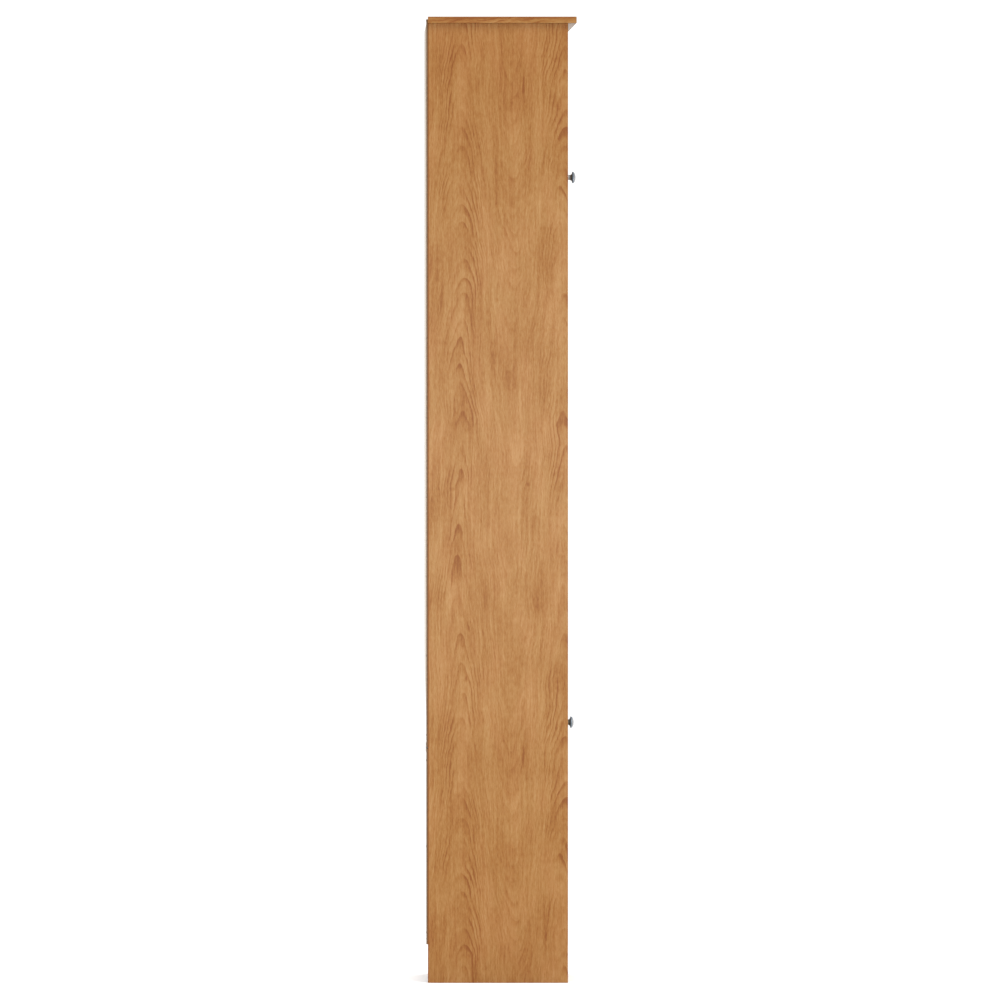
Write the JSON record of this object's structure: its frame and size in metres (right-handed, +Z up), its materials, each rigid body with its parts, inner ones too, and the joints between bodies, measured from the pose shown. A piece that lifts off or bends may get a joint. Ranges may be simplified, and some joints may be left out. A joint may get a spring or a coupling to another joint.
{
  "type": "pantry cabinet",
  "caption": "Tall narrow board cabinet with an upper and a lower framed door, an open niche between them and loose shelves behind the doors.",
  "frame": {"origin": "on the floor under the middle of the cabinet's bounding box", "axes": "+Z up, -Y towards the front with the doors and knobs, +X to the knob side of the doors"},
  "size_m": [0.416, 0.284, 1.8],
  "materials": {
    "wood_foil": "printed wood-effect foil on board, satin",
    "raw_board": "raw sawn board ends, matt",
    "back_sheet": "thin pale coated fibre sheet, matt",
    "satin_metal": "pewter-coloured cast metal, satin",
    "steel": "zinc-plated steel",
    "white_plastic": "moulded off-white plastic"
  },
  "bodies": {
    "carcass": {"side_panel_left": "wood_foil", "side_panel_right": "wood_foil", "top_board": "wood_foil", "top_rail": "wood_foil", "fixed_shelf_upper": "wood_foil", "fixed_shelf_lower": "wood_foil", "bottom_panel": "wood_foil", "plinth": "wood_foil", "cornice_moulding": "raw_board", "back_sheet_lower": "back_sheet", "back_sheet_upper": "back_sheet", "back_joint_strip": "white_plastic", "shelf_upper": "wood_foil", "shelf_middle": "wood_foil", "shelf_lower": "wood_foil", "shelf_pin_upper_left_front": "steel", "shelf_pin_upper_left_rear": "steel", "shelf_pin_upper_right_front": "steel", "shelf_pin_upper_right_rear": "steel", "shelf_pin_middle_left_front": "steel", "shelf_pin_middle_left_rear": "steel", "shelf_pin_middle_right_front": "steel", "shelf_pin_middle_right_rear": "steel", "shelf_pin_lower_left_front": "steel", "shelf_pin_lower_left_rear": "steel", "shelf_pin_lower_right_front": "steel", "shelf_pin_lower_right_rear": "steel", "magnet_catch_upper": "white_plastic", "magnet_catch_lower": "white_plastic", "hinge_upper_low_frame_leaf": "steel", "hinge_upper_low_pin": "steel", "hinge_upper_high_frame_leaf": "steel", "hinge_upper_high_pin": "steel", "hinge_lower_low_frame_leaf": "steel", "hinge_lower_low_pin": "steel", "hinge_lower_high_frame_leaf": "steel", "hinge_lower_high_pin": "steel"},
    "door_upper": {"door_upper_stile_hinge": "wood_foil", "door_upper_stile_knob": "wood_foil", "door_upper_rail_bottom": "wood_foil", "door_upper_rail_top": "wood_foil", "door_upper_panel": "wood_foil", "door_upper_knob": "satin_metal", "door_upper_knob_screw": "steel", "door_upper_strike_plate": "steel", "hinge_upper_low_door_leaf": "steel", "hinge_upper_high_door_leaf": "steel"},
    "door_lower": {"door_lower_stile_hinge": "wood_foil", "door_lower_stile_knob": "wood_foil", "door_lower_rail_bottom": "wood_foil", "door_lower_rail_top": "wood_foil", "door_lower_panel": "wood_foil", "door_lower_knob": "satin_metal", "door_lower_knob_screw": "steel", "door_lower_strike_plate": "steel", "hinge_lower_low_door_leaf": "steel", "hinge_lower_high_door_leaf": "steel"}
  },
  "joints": [
    {"name": "door_upper_hinge", "type": "hinge", "parent": "carcass", "child": "door_upper", "pos_m": [-0.1815, -0.1225, 1.498], "axis": [0, 0, -1], "range_deg": [0, 110]},
    {"name": "door_lower_hinge", "type": "hinge", "parent": "carcass", "child": "door_lower", "pos_m": [-0.1815, -0.119, 0.475], "axis": [0, 0, -1], "range_deg": [0, 110]}
  ]
}
